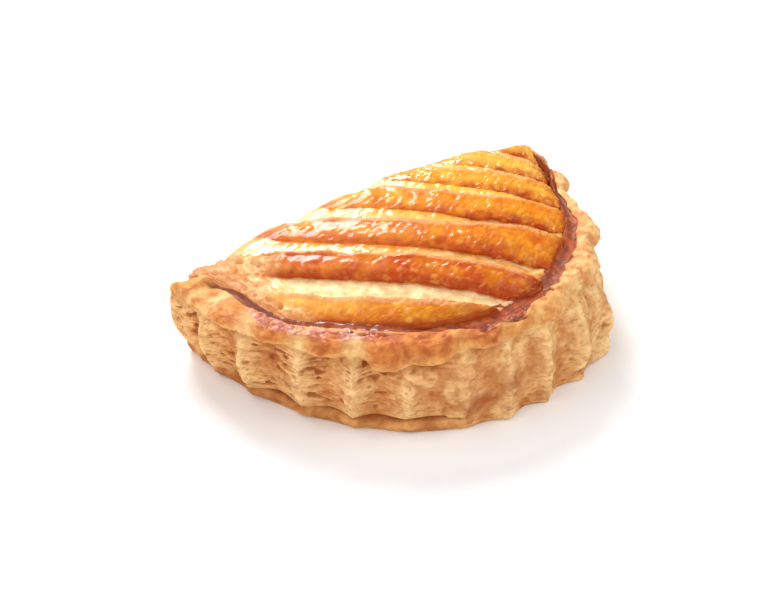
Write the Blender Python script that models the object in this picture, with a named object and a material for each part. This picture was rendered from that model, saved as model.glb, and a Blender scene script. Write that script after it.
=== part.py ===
"""A baked turnover: an oval of puff pastry folded into a half-moon, made as one solid.

The straight fold runs along X at the back and the fluted cut edge faces -Y. A body carries the flutes,
the crease between the two sheets of dough, the lip and the sunk seam behind it. A scored dome, a row of
strips that step over one another, is joined on top and reaches down to the base along the fold. The
origin ends up at the middle of the flat base.
"""

import math

import bmesh
import bpy
from mathutils import Vector

MM = 0.001

# Driving dimensions
LEFT_HALF = 74.5 * MM  # from the deepest part of the oval to the left tip, along the fold
RIGHT_HALF = 70.5 * MM
WALL_DEPTH = 83 * MM  # from the line of the tips to the front of the lip
FOLD_BULGE = 14 * MM  # how far the folded back swells behind the line of the tips
LIP_HEIGHT = 33 * MM  # top of the lip at the front
LEFT_TIP_HEIGHT = 29 * MM  # top of the lip at the left tip
RIGHT_TIP_HEIGHT = 31.5 * MM
LIP_CURVE = 0.6  # below 1, the lip rises to its full height close to the tips
DOME_RISE = 8 * MM  # crown of the dome above the seam
SEAM_INSET = 7.6 * MM  # from the lip's edge in to the sunk seam
SEAM_SHARE = 0.94  # height of the seam's bottom as a share of the lip
WIDE_LIP = 5.8 * MM  # how much wider the lip is on the left
WIDE_LIP_ANGLE = math.radians(43)
WIDE_LIP_SPAN = math.radians(37)
WIDE_LIP_TIP = math.radians(28)  # stretch over which that starts from the left tip
LIP_FLAT = 5 * MM  # what lies further in than this moves with the widening
FULLNESS = 2.0  # exponent of the oval; 2 is a plain oval
RIGHT_FULLNESS = 2.02  # the right half is fuller, by more at the foot than at the lip
RIGHT_FOOT_FULLNESS = 2.04

# The fluted wall
RIDGES = [0, 12, 24, 38, 50, 62, 74, 86, 97, 109, 121, 134, 147, 159, 170, 180]  # degrees round the front
STEPS_PER_FLUTE = 10
RIDGE_SHARPNESS = 1.6
FLUTE_DEPTH = 3.4 * MM
TIP_FADE = math.radians(14)  # stretch over which the flutes fade out towards each tip
LEFT_LEAN = 12 * MM  # how far the foot is tucked in under the left tip
LEFT_LEAN_SPAN = math.radians(95)
LOBE = 4.2 * MM  # extra swelling of the wall at the front right
LOBE_ANGLE = math.radians(119)
LOBE_SPAN = math.radians(11)
SLIMMING = 2.6 * MM  # how much less the wall swells beyond that, up to the right tip
SLIMMING_SPAN = math.radians(14)

# Section of the body: (outwards from the lip's edge, height as a share of the lip, share of the flute depth)
BODY_SECTION = [
    (4.8 * MM, -0.09, 0.2),
    (5.2 * MM, 0.02, 0.2),
    (5.6 * MM, 0.11, 0.3),
    (3.8 * MM, 0.18, 0.4),
    (0.4 * MM, 0.22, 0.6),
    (3.0 * MM, 0.28, 0.9),
    (4.8 * MM, 0.41, 1.0),
    (4.4 * MM, 0.58, 1.0),
    (2.2 * MM, 0.74, 0.9),
    (-0.8 * MM, 0.85, 0.5),
    (0.8 * MM, 0.90, -0.6),
    (0.0 * MM, 0.98, -0.6),
    (-3.6 * MM, 1.0, -0.2),
    (-SEAM_INSET, SEAM_SHARE, 0.0),
    (-SEAM_INSET - 2.5 * MM, 0.90, 0.0),
]
TIP_SHARE = 0.45  # share of an inset that is left at the two tips
BACK_INSET = 16 * MM  # how far the body stays inside the fold
BACK_INSET_SPAN = 12 * MM  # measured along the fold from each tip
BACK_SINK = 4 * MM  # how far its top sinks there
TIP_JOIN = 1.5 * MM  # stretch over which each ring closes at its tips
BACK_STEPS = 36
CHORD_SHIFT = 0.6  # how far forward the tips of an inner ring move, as a share of its inset
CORE_HEIGHT = 18 * MM  # flat closure of the body, inside the dome
CORE_INSET = SEAM_INSET + 4.5 * MM

# The cuts across the dome, near to far: (where each starts along the fold, where it ends on the seam).
# Starts are measured from the left tip; the first cut starts on the seam, short of the tip.
CUTS = [
    (-9 * MM, math.radians(88)),
    (13 * MM, math.radians(108.5)),
    (38 * MM, math.radians(124.6)),
    (72 * MM, math.radians(141.3)),
    (96.5 * MM, math.radians(150.6)),
    (119 * MM, math.radians(161.3)),
]
FIRST_STRIP_MIDDLE = math.radians(45)  # place on the seam that the first strip grows from
FIRST_STRIP_STEPS = 22
FIRST_STRIP_RELIEF = -1.2 * MM  # dip along the middle of the first strip
CUT_GAP = 0.07  # share of a strip taken by the drop behind the crest before it
END_GAP = 0.13  # share of the two outer strips that is left out at the very tips
# Section of a strip: (place across it, height above the crest)
STRIP_SECTION = [
    (0.0, -3.6 * MM),
    (0.20, -3.4 * MM),
    (0.42, -2.4 * MM),
    (0.50, -1.3 * MM),
    (0.72, -0.4 * MM),
    (0.92, 0.3 * MM),
    (1.0, 0.0),
]

# The dome and its folded back
DOME_INSET = SEAM_INSET + 1.2 * MM  # from the lip's edge in to the dome's edge, below the seam
TIP_INSET = DOME_INSET * TIP_SHARE
DOME_DEPTH = WALL_DEPTH - DOME_INSET
DOME_EDGE_SHARE = 0.95  # height of its edge as a share of the lip
DOME_FLATNESS = 4.0
TIP_OPENING = 0.08  # how far the dome's rounding stops short of the tips, where the seam fades out
TIP_OPENING_SPAN = 0.2
FOLD_ROUND = 15 * MM  # how far in from the back the top starts to roll over
TIP_ROUND = 5 * MM  # the same near the two tips
FOLD_ROUNDNESS = 2.2
FOLD_EQUATOR = 16 * MM  # height at which the back swells furthest
FOLD_TUCK = 4 * MM  # how far the foot of the back is tucked in
FOOT_PINCH = 0.12  # how far the foot is drawn in at the tips and under the seam, towards its middle
FOOT_MIDDLE = Vector((0, -30 * MM, 0))
LEFT_FOLD_CURVE = 2.2
RIGHT_FOLD_CURVE = 3
ROW_STEPS = 18
FOOT_STEPS = 4
SEAM_RELIEF = 0.4  # share of the cuts' depth left where a strip meets the seam
SEAM_RELIEF_SPAN = 0.06  # as a share of the row's length
CUSHION = 3.0 * MM  # how far each strip swells between two cuts where it rolls over the fold
CUSHION_CURVE = 2.5
CUSHION_SPAN = 0.22  # share of a row's length over which that gives way to the stepped section
SEAM_DROP = 0.45  # share of its height that the wall behind the seam runs down before the next point
BELOW_BASE = 2 * MM
SNAP = 1e-6
SHARP_ANGLE = math.radians(50)


def smooth_step(value):
    value = min(1.0, max(0.0, value))
    return value * value * (3 - 2 * value)


def signed_power(value, exponent):
    return math.copysign(abs(value) ** exponent, value)


def half_length(side):
    """The half of the fold on the side of this number: below 0 is left."""
    return LEFT_HALF if side < 0 else RIGHT_HALF


def oval_point(angle, sideways, forward, share=1.0):
    """A point on the front of the oval, enlarged by two lengths: angle 0 is the left tip, pi the right."""
    fullness = FULLNESS
    if angle > math.pi / 2:
        fullness = RIGHT_FULLNESS + (RIGHT_FOOT_FULLNESS - RIGHT_FULLNESS) * smooth_step(1 - share)
    across = -math.cos(angle)
    x = (half_length(across) + sideways) * signed_power(across, 2 / fullness)
    y = -(WALL_DEPTH + forward) * signed_power(math.sin(angle), 2 / fullness)
    return Vector((x, y, 0))


def widening(angle):
    """How much further in the seam lies at this angle than its plain inset."""
    turn = (angle - WIDE_LIP_ANGLE) / WIDE_LIP_SPAN
    return WIDE_LIP * math.exp(-turn * turn) * smooth_step(angle / WIDE_LIP_TIP)


def dome_edge(angle):
    """The dome's edge in plan, just below the seam."""
    wide = widening(angle)
    return oval_point(angle, -TIP_INSET - wide, -DOME_INSET - wide)


def lip_height(angle):
    tip = LEFT_TIP_HEIGHT if math.cos(angle) > 0 else RIGHT_TIP_HEIGHT
    return tip + (LIP_HEIGHT - tip) * abs(math.sin(angle)) ** LIP_CURVE


def flute(angle):
    """1 on the narrow ridge between two flutes, 0 at the bottom of the hollow."""
    turn = math.degrees(angle)
    for near, far in zip(RIDGES, RIDGES[1:]):
        if near <= turn <= far:
            return abs(2 * (turn - near) / (far - near) - 1) ** RIDGE_SHARPNESS
    return 1.0


def wall_swell(angle, share, fluted):
    """What the flutes, the lobe and the leaning tip add to the section at this angle."""
    from_left = min(angle, 2 * math.pi - angle)
    lean = LEFT_LEAN * (1 - smooth_step(from_left / LEFT_LEAN_SPAN))
    offset = -lean * max(0.0, 0.9 - max(0.0, share))
    if angle < math.pi:
        fade = smooth_step(min(angle, math.pi - angle) / TIP_FADE)
        turn = (angle - LOBE_ANGLE) / LOBE_SPAN
        slim = SLIMMING * smooth_step((angle - LOBE_ANGLE) / SLIMMING_SPAN)
        swell = (LOBE * math.exp(-turn * turn) - slim) * max(0.0, fluted)
        offset += fade * FLUTE_DEPTH * fluted * (flute(angle) - 0.5) + swell
    else:
        offset -= SLIMMING * smooth_step(from_left / math.pi) * max(0.0, fluted)
    return offset


def body_point(angle, out, share, fluted):
    """A point of the body: round the oval at the front, and along a shallow curve inside the fold."""
    swell = wall_swell(angle, share, fluted)
    shift = CHORD_SHIFT * min(0.0, out)
    sideways = swell + (out * TIP_SHARE if out < 0 else out)
    height = share * lip_height(angle)
    if angle < math.pi:
        wide = widening(angle) if out < -LIP_FLAT else 0.0
        point = oval_point(angle, sideways - wide, swell + out + shift - wide, share)
    else:
        across = -math.cos(angle)
        x = (half_length(across) + sideways) * across
        from_tip = half_length(x) + swell - abs(x)
        inset = BACK_INSET * smooth_step(from_tip / BACK_INSET_SPAN)
        y = max(0.0, fold_y(x)) * smooth_step(from_tip / TIP_ROUND) - inset
        y *= smooth_step((half_length(x) + sideways - abs(x)) / TIP_JOIN)
        rounding = max(0.0, out) * math.sqrt(abs(math.sin(angle)))
        point = Vector((x, y + rounding, 0))
        height -= share * BACK_SINK * inset / BACK_INSET
    point.y += shift
    point.z = height
    return point


def ring_angles():
    """The angles of the points round the body: closer together on the flutes than inside the fold."""
    angles = []
    for near, far in zip(RIDGES, RIDGES[1:]):
        angles += [math.radians(near + (far - near) * i / STEPS_PER_FLUTE) for i in range(STEPS_PER_FLUTE)]
    return angles + [math.pi * (1 + i / BACK_STEPS) for i in range(BACK_STEPS)]


def body_rings():
    angles = ring_angles()
    rings = [[body_point(angle, *section) for angle in angles] for section in BODY_SECTION]
    for point in rings[0]:
        point.z = -1.5 * BELOW_BASE
    core = [body_point(angle, -CORE_INSET, 1.0, 0.0) for angle in angles]
    for point in core:
        point.z = CORE_HEIGHT
    return [*rings, core]


def fold_y(x):
    """The plan of the folded back."""
    curve = LEFT_FOLD_CURVE if x < 0 else RIGHT_FOLD_CURVE
    return FOLD_BULGE * (1 - abs(x / half_length(x)) ** curve)


def dome_height(x, y):
    """The dome's top before the cuts: flat in the middle, rounded to the seam and over the fold."""
    front = max(0.0, -y) / DOME_DEPTH
    across = x / (half_length(x) - TIP_INSET)
    fullness = FULLNESS if x < 0 else RIGHT_FULLNESS
    open_tip = TIP_OPENING * (1 - smooth_step(front / TIP_OPENING_SPAN))
    angle = math.atan2(front, -across)
    reach = ((abs(across) * (1 - open_tip)) ** fullness + front**fullness) ** (1 / fullness)
    reach = min(1.0, reach / (1 - widening(angle) / DOME_DEPTH))
    seam = lip_height(angle) * DOME_EDGE_SHARE
    crown = seam + DOME_RISE * math.sqrt(1 - reach**DOME_FLATNESS)
    reach_back = TIP_ROUND + (FOLD_ROUND - TIP_ROUND) * (1 - min(1.0, abs(across)) ** 4)
    inwards = min(1.0, max(0.0, (fold_y(x) - y) / reach_back))
    roll = (1 - (1 - inwards) ** FOLD_ROUNDNESS) ** (1 / FOLD_ROUNDNESS)
    return FOLD_EQUATOR + (crown - FOLD_EQUATOR) * roll


def row_ends(place):
    """The two ends of the row at this place, counted in strips: on the fold, and on the seam."""
    first = (-DOME_DEPTH * math.sin(FIRST_STRIP_MIDDLE), FIRST_STRIP_MIDDLE)
    stops = [first, *CUTS, (LEFT_HALF + RIGHT_HALF - 2 * TIP_INSET, math.pi)]
    strip = min(int(place), len(stops) - 2)
    share = place - strip
    start = stops[strip][0] + (stops[strip + 1][0] - stops[strip][0]) * share
    angle = stops[strip][1] + (stops[strip + 1][1] - stops[strip][1]) * share
    if start < 0:
        back = dome_edge(math.asin(-start / DOME_DEPTH))
    else:
        x = start + TIP_INSET - LEFT_HALF
        back = Vector((x, fold_y(x), 0))
    return back, dome_edge(angle)


def foot_point(edge, rise):
    """A point of the wall below the dome's edge, drawn in towards the middle: rise is 0 at the foot."""
    pinch = FOOT_PINCH * (1 - max(0.0, edge.y) / FOLD_BULGE)
    inwards = (FOOT_MIDDLE - edge) * pinch + Vector((0, -FOLD_TUCK * (1 - pinch / FOOT_PINCH), 0))
    height = -BELOW_BASE if rise == 0 else FOLD_EQUATOR * rise
    return edge + inwards * (1 - rise) ** 2 + Vector((0, 0, height))


def dome_section(place, relief):
    """One closed section of the dome: up the folded back, over the top and down behind the seam."""
    cushion = -CUSHION * abs(2 * (place % 1) - 1) ** CUSHION_CURVE if place > 1 else relief
    back, seam = row_ends(place)
    points = [foot_point(back, 0)]
    for step in range(1, FOOT_STEPS):
        points.append(foot_point(back, step / FOOT_STEPS))
    for step in range(ROW_STEPS + 1):
        share = 0.5 - 0.5 * math.cos(math.pi * step / ROW_STEPS)
        point = back.lerp(seam, share)
        stepped = smooth_step(share / CUSHION_SPAN)
        depth = SEAM_RELIEF + (1 - SEAM_RELIEF) * smooth_step((1 - share) / SEAM_RELIEF_SPAN)
        point.z = dome_height(point.x, point.y) + depth * (relief * stepped + cushion * (1 - stepped))
        points.append(point)
    points.append(seam + Vector((0, 0, points[-1].z * (1 - SEAM_DROP))))
    points.append(foot_point(seam, 0))
    return points


def dome_sections():
    """The first strip starts at the seam with no pale foot, so it swells up evenly to its crest."""
    sections = []
    for step in range(FIRST_STRIP_STEPS):
        across = END_GAP + (1 - END_GAP) * step / FIRST_STRIP_STEPS
        sections.append(dome_section(across, FIRST_STRIP_RELIEF * math.sin(math.pi * across)))
    for strip in range(1, len(CUTS) + 1):
        width = 1 - CUT_GAP - (END_GAP if strip == len(CUTS) else 0.0)
        sections += [
            dome_section(strip + CUT_GAP + width * across, relief) for across, relief in STRIP_SECTION
        ]
    return sections


def loft(name, rings):
    """A closed solid through a row of closed rings that have the same number of points."""
    mesh = bmesh.new()
    rows = [[mesh.verts.new(point) for point in ring] for ring in rings]
    for near, far in zip(rows, rows[1:]):
        for i, vert in enumerate(near):
            j = (i + 1) % len(near)
            mesh.faces.new((vert, near[j], far[j], far[i]))
    mesh.faces.new(rows[0])
    mesh.faces.new(reversed(rows[-1]))
    bmesh.ops.triangulate(mesh, faces=mesh.faces)
    bmesh.ops.recalc_face_normals(mesh, faces=mesh.faces)
    data = bpy.data.meshes.new(name)
    mesh.to_mesh(data)
    mesh.free()
    solid = bpy.data.objects.new(name, data)
    bpy.context.scene.collection.objects.link(solid)
    return solid


def join(solid, other):
    """Adds the other solid to this one and takes it out of the scene."""
    union = solid.modifiers.new("join", "BOOLEAN")
    union.operation = "UNION"
    union.solver = "EXACT"
    union.object = other
    graph = bpy.context.evaluated_depsgraph_get()
    joined = bpy.data.meshes.new_from_object(solid.evaluated_get(graph))
    solid.modifiers.clear()
    solid.data = joined
    bpy.data.objects.remove(other)


def flatten_base(solid):
    """Cuts the solid at height 0, closes it with one flat face and puts the origin at its middle."""
    mesh = bmesh.new()
    mesh.from_mesh(solid.data)
    everything = mesh.verts[:] + mesh.edges[:] + mesh.faces[:]
    cut = bmesh.ops.bisect_plane(
        mesh, geom=everything, dist=SNAP, plane_co=(0, 0, 0), plane_no=(0, 0, 1), clear_inner=True
    )
    rim = [item for item in cut["geom_cut"] if isinstance(item, bmesh.types.BMEdge)]
    bmesh.ops.edgeloop_fill(mesh, edges=rim)
    low = Vector(min(v.co[axis] for v in mesh.verts) for axis in range(3))
    high = Vector(max(v.co[axis] for v in mesh.verts) for axis in range(3))
    middle = (low + high) / 2
    bmesh.ops.translate(mesh, verts=mesh.verts, vec=(-middle.x, -middle.y, -low.z))
    bmesh.ops.recalc_face_normals(mesh, faces=mesh.faces)
    mesh.to_mesh(solid.data)
    mesh.free()


def baked_dough():
    material = bpy.data.materials.new("baked_dough")
    material.use_nodes = True
    shader = material.node_tree.nodes["Principled BSDF"]
    shader.inputs["Base Color"].default_value = (0.72, 0.40, 0.13, 1)
    shader.inputs["Roughness"].default_value = 0.45
    shader.inputs["Metallic"].default_value = 0.0
    return material


def main():
    for old in list(bpy.data.objects):
        bpy.data.objects.remove(old)
    turnover = loft("turnover", body_rings())
    join(turnover, loft("dome", dome_sections()))
    flatten_base(turnover)
    turnover.data.materials.clear()
    turnover.data.materials.append(baked_dough())
    turnover.data.shade_smooth()
    turnover.data.set_sharp_from_angle(angle=SHARP_ANGLE)


main()
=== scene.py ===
# A baked turnover on a pale studio floor: a fluted, flaky side under a scored and glazed top.
# All lengths are metres in the shared frame. Shapes are worked out on grids: round the side and up its
# section, and across the strips and along their rows.

import math
from types import SimpleNamespace

import bpy
import numpy as np
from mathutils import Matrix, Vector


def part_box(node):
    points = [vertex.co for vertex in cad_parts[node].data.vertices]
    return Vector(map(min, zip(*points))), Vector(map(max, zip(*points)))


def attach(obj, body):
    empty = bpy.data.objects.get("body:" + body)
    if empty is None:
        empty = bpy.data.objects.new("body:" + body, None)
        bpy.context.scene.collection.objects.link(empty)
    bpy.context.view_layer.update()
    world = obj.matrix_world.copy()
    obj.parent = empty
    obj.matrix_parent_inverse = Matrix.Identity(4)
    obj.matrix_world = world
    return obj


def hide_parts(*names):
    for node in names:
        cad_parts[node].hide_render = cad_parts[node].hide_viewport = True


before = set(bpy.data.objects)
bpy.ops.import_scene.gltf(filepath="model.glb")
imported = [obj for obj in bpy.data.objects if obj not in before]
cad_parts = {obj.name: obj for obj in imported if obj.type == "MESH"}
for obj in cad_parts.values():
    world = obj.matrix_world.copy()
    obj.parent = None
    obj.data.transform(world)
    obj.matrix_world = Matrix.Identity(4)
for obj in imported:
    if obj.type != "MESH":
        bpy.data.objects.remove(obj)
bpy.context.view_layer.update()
mm = 0.001

# The outline shared by both crusts, around the middle of the line between the tips
shape = {
    "leftHalf": 74.5 * mm,
    "rightHalf": 70.5 * mm,
    "wallDepth": 83 * mm,
    "foldBulge": 14 * mm,
    "lipHeight": 33 * mm,
    "leftTipHeight": 29 * mm,
    "rightTipHeight": 31.5 * mm,
    "lipCurve": 0.6,
    "rightFullness": 2.03,
    "tipShare": 0.45,
    # how much further in the seam lies, in mm, every ten degrees from the left tip
    "seamWidths": [
        *(3.0, 6.2, 5.3, 3.9, 4.4, 5.0, 4.1, 2.3, 0.7, 0.3),
        *(0.6, 1.2, 2.5, 2.4, 2.2, 3.0, 2.8, 0.0, -1.2),
    ],
    "leftFoldCurve": 2.2,
    "rightFoldCurve": 3.0,
}

low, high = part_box("turnover")
tipLine = high.y - shape["foldBulge"]
middleX = (low.x + high.x) / 2


# 0 to 1 with level ends: 3 t squared less 2 t cubed
def smoothStep(value):
    value = np.clip(value, 0, 1)
    return value * value * (3 - 2 * value)


# A smooth step up from a start: of the distance past it, in widths
def rising(value, start, width):
    return smoothStep((value - start) / width)


# A smooth step down: 1 less the step up
def falling(value, start, width):
    return 1 - rising(value, start, width)


# A bell curve: e to the minus square of the distance from its centre, in widths
def bell(value, centre, width):
    return np.exp(-(((value - centre) / width) ** 2))


# From the first value to the second: the first plus a share of the difference
def blend(first, second, share):
    return first + (second - first) * share


# A grid of colours blended towards one colour, or a second grid, by a share at each point
def tint(colours, colour, share):
    return blend(colours, colour, share[..., None])


# Layers of paint laid over a grid of colours, each a colour and its share at each point
def painted(colours, *layers):
    for colour, share in layers:
        colours = tint(colours, colour, share)
    return colours


# A colour given in display values of 0 to 255, as linear light: a power of 2.4, straight near black
def tone(red, green, blue):
    value = np.array([red, green, blue]) / 255
    return np.where(value <= 0.04045, value / 12.92, ((value + 0.055) / 1.055) ** 2.4)


# Three values, stretched to one shape, as the last axis of a grid
def trio(first, second, third=0.0):
    return np.stack(np.broadcast_arrays(first, second, third), -1).astype(float)


# An even random number for each whole-numbered cell: integer products, folded and scaled
def chance(cell, seed):
    cell = cell.astype(np.int64).astype(np.uint32)
    mixed = cell[..., 0] * np.uint32(374761393) + cell[..., 1] * np.uint32(668265263)
    mixed = mixed + cell[..., 2] * np.uint32(2246822519) + np.uint32(seed * 3266489917 % 4294967296)
    mixed = (mixed ^ (mixed >> np.uint32(13))) * np.uint32(1274126177)
    mixed = (mixed ^ (mixed >> np.uint32(16))) * np.uint32(2654435761)
    return (mixed ^ (mixed >> np.uint32(15))).astype(np.float64) / 4294967296


# Smooth noise from -1 to 1: random numbers at whole points, blended between them
def noise(place, seed):
    corner = np.floor(place)
    share = smoothStep(place - corner)
    total = 0
    for step in np.ndindex(2, 2, 2):
        weight = np.prod(np.where(np.array(step) == 1, share, 1 - share), axis=-1)
        total = total + weight * chance(corner + np.array(step), seed)
    return 2 * total - 1


# Noise at sizes that halve each time, at strengths that halve too
def fractal(place, octaves, seed):
    total = 0
    for octave in range(octaves):
        total = total + noise(place * 2.03**octave + 7.1 * octave, seed + octave) / 2**octave
    return total / (2 - 0.5 ** (octaves - 1))


# Distances to the nearest and second random seeds, the nearest one's number and the way to it
def cells(place, seed):
    home = np.floor(place)
    nearest = np.full(place.shape[:-1], 9.0)
    second = nearest.copy()
    number = np.zeros_like(nearest)
    away = np.zeros_like(place)
    flat = np.ptp(place[..., 2]) == 0
    for step in np.ndindex(3, 3, 1 if flat else 3):
        cell = home + np.array(step) - (1, 1, 0 if flat else 1)
        jitter = np.stack([chance(cell, seed + axis) for axis in range(3)], -1)
        if flat:
            jitter[..., 2] = 0
        offset = place - cell - jitter
        distance = np.sqrt((offset**2).sum(-1))
        closer = distance < nearest
        second = np.where(closer, nearest, np.minimum(second, distance))
        number = np.where(closer, chance(cell, seed + 5), number)
        away = np.where(closer[..., None], offset, away)
        nearest = np.where(closer, distance, nearest)
    return nearest, second, number, away


# Weights that carry a smooth curve through evenly counted control points: one row for each step
def spline(controls, steps):
    place = np.asarray(steps, float)
    start = np.clip(np.floor(place).astype(int), 0, controls - 2)
    share = place - start
    weights = np.zeros((len(place), controls))
    rows = np.arange(len(place))
    basis = [
        -0.5 * share + share**2 - 0.5 * share**3,
        1 - 2.5 * share**2 + 1.5 * share**3,
        0.5 * share + 2 * share**2 - 1.5 * share**3,
        -0.5 * share**2 + 0.5 * share**3,
    ]
    for offset, weight in enumerate(basis):
        np.add.at(weights, (rows, np.clip(start + offset - 1, 0, controls - 1)), weight)
    return weights


# Half length on the side of the middle that a place lies on: the left one for values below 0
def halfLength(side):
    return np.where(side < 0, shape["leftHalf"], shape["rightHalf"])


# The front of the oval, enlarged by two lengths: half lengths times powers of cosine and sine
def ovalPoint(angle, sideways, forward):
    across = -np.cos(angle)
    power = 2 / np.where(across < 0, 2.0, shape["rightFullness"])
    x = (halfLength(across) + sideways) * np.sign(across) * np.abs(across) ** power
    return x, -(shape["wallDepth"] + forward) * np.abs(np.sin(angle)) ** power


# Height of the lip: from the tip's height up by a power of the sine
def lipHeight(angle):
    tip = np.where(np.cos(angle) > 0, shape["leftTipHeight"], shape["rightTipHeight"])
    return tip + (shape["lipHeight"] - tip) * np.abs(np.sin(angle)) ** shape["lipCurve"]


# How much further in the seam lies: a smooth curve through widths at even angles
def widening(angle):
    widths = np.array(shape["seamWidths"]) * mm
    turn = np.degrees(np.asarray(angle, float))
    fine = np.linspace(0, 180, 721)
    return np.interp(turn, fine, spline(len(widths), fine / 10) @ widths)


# Plan of the folded back: the bulge less a power of the share of the half length
def foldLine(x):
    curve = np.where(x < 0, shape["leftFoldCurve"], shape["rightFoldCurve"])
    share = np.clip(np.abs(x / halfLength(x)), 0, 1)
    return shape["foldBulge"] * (1 - share**curve)


# A grid, closed along its second axis, pushed outwards by a length at each point: along the cross product
# of its two slopes, away from the centre
def pushed(points, push, centre):
    along = np.gradient(points, axis=0)
    around = (np.roll(points, -1, axis=1) - np.roll(points, 1, axis=1)) / 2
    normals = np.cross(along, around)
    normals = normals / np.maximum(np.linalg.norm(normals, axis=-1, keepdims=True), 1e-12)
    outwards = np.sign(((points - np.array(centre)) * normals).sum(-1).mean())
    return points + outwards * normals * push[..., None]


# A closed solid from a grid closed along its second axis, with the mean of each end row as a middle point
def closedMesh(name, points, colours, gloss, material):
    rows, count = points.shape[:2]
    ends = [points[0].mean(0), points[-1].mean(0)]
    vertices = np.concatenate([points.reshape(-1, 3), ends])
    vertices[:, 0] += middleX
    vertices[:, 1] += tipLine
    index = np.arange(rows * count).reshape(rows, count)
    following = np.roll(index, -1, axis=1)
    quads = np.stack([index[:-1], following[:-1], following[1:], index[1:]], -1).reshape(-1, 4)
    first = np.stack([following[0], index[0], np.full(count, rows * count)], -1)
    last = np.stack([index[-1], following[-1], np.full(count, rows * count + 1)], -1)
    triangles = np.concatenate([quads[:, [0, 1, 2]], quads[:, [0, 2, 3]], first, last])
    a, b, c = (vertices[triangles[:, i]] for i in range(3))
    if (a * np.cross(b, c)).sum() < 0:
        quads, first, last = quads[:, ::-1], first[:, ::-1], last[:, ::-1]
    mesh = bpy.data.meshes.new(name)
    loops = np.concatenate([quads.ravel(), first.ravel(), last.ravel()]).astype(np.int32)
    sizes = np.concatenate([np.full(len(quads), 4), np.full(2 * count, 3)])
    mesh.vertices.add(len(vertices))
    mesh.vertices.foreach_set("co", vertices.ravel())
    mesh.loops.add(len(loops))
    mesh.loops.foreach_set("vertex_index", loops)
    mesh.polygons.add(len(sizes))
    mesh.polygons.foreach_set("loop_start", np.concatenate([[0], np.cumsum(sizes)[:-1]]).astype(np.int32))
    mesh.update(calc_edges=True)
    mesh.validate()
    paint = np.ones((len(vertices), 4))
    paint[:-2, :3] = np.clip(colours, 0, 1).reshape(-1, 3)
    paint[-2:, :3] = [colours[0, 0], colours[-1, 0]]
    mesh.attributes.new("crustColour", "FLOAT_COLOR", "POINT").data.foreach_set("color", paint.ravel())
    shine = np.concatenate([np.clip(gloss, 0, 1).ravel(), [0, 0]])
    mesh.attributes.new("crustGloss", "FLOAT", "POINT").data.foreach_set("value", shine)
    mesh.shade_smooth()
    mesh.set_sharp_from_angle(angle=math.radians(75))
    mesh.materials.append(material)
    piece = bpy.data.objects.new(name, mesh)
    bpy.context.scene.collection.objects.link(piece)
    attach(piece, "root")
    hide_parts("turnover")
    print(name, len(triangles), "triangles")


# Materials: a node with options of its own, values for named or numbered inputs, and outputs joined to inputs
def addNode(tree, kind, values=None, joined=None, **options):
    node = tree.nodes.new(kind)
    for option, value in options.items():
        setattr(node, option, value)
    for name, value in (values or {}).items():
        node.inputs[name].default_value = value
    for name, output in (joined or {}).items():
        tree.links.new(output, node.inputs[name])
    return node


# The product of an output and a number, or of two outputs
def multiplied(tree, output, other):
    isNumber = isinstance(other, float)
    values, joined = ({1: other}, {0: output}) if isNumber else (None, {0: output, 1: other})
    return addNode(tree, "ShaderNodeMath", values, joined, operation="MULTIPLY").outputs["Value"]


# An output carried from 0 and 1, or other limits, to a start and an end in a straight line
def mapped(tree, output, start, end, fromMin=0.0, fromMax=1.0):
    values = {"From Min": fromMin, "From Max": fromMax, "To Min": start, "To Max": end}
    return addNode(tree, "ShaderNodeMapRange", values, {"Value": output}).outputs["Result"]


grainSettings = {
    "shadeScale": 340.0,
    "reliefScale": 520.0,
    "detail": 7.0,
    "roughness": 0.7,
    "shadeFrom": 0.36,
    "shadeTo": 0.62,
    "glowColour": (1.0, 0.45, 0.18),
}


# Fine grain of baked dough: two sizes of noise, one for the colour's strength and one for the relief
def fineGrainGroup():
    s = grainSettings
    group = bpy.data.node_groups.new("fineGrain", "ShaderNodeTree")
    for label in ("Size", "Stretch"):
        socket = group.interface.new_socket(label, in_out="INPUT", socket_type="NodeSocketFloat")
        socket.default_value = 1.0
    for label in ("Shade", "Relief"):
        group.interface.new_socket(label, in_out="OUTPUT", socket_type="NodeSocketFloat")
    source = addNode(group, "NodeGroupInput").outputs
    target = addNode(group, "NodeGroupOutput")
    place = addNode(group, "ShaderNodeTexCoord").outputs["Object"]
    stretch = addNode(group, "ShaderNodeCombineXYZ", {"X": 1.0, "Y": 1.0}, {"Z": source["Stretch"]})
    joined = {0: place, 1: stretch.outputs["Vector"]}
    scaled = addNode(group, "ShaderNodeVectorMath", None, joined, operation="MULTIPLY").outputs["Vector"]
    for label, scale in (("Shade", s["shadeScale"]), ("Relief", s["reliefScale"])):
        joined = {"Vector": scaled, "Scale": multiplied(group, source["Size"], scale)}
        values = {"Detail": s["detail"], "Roughness": s["roughness"]}
        texture = addNode(group, "ShaderNodeTexNoise", values, joined)
        group.links.new(texture.outputs["Fac"], target.inputs[label])
    return group


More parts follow.
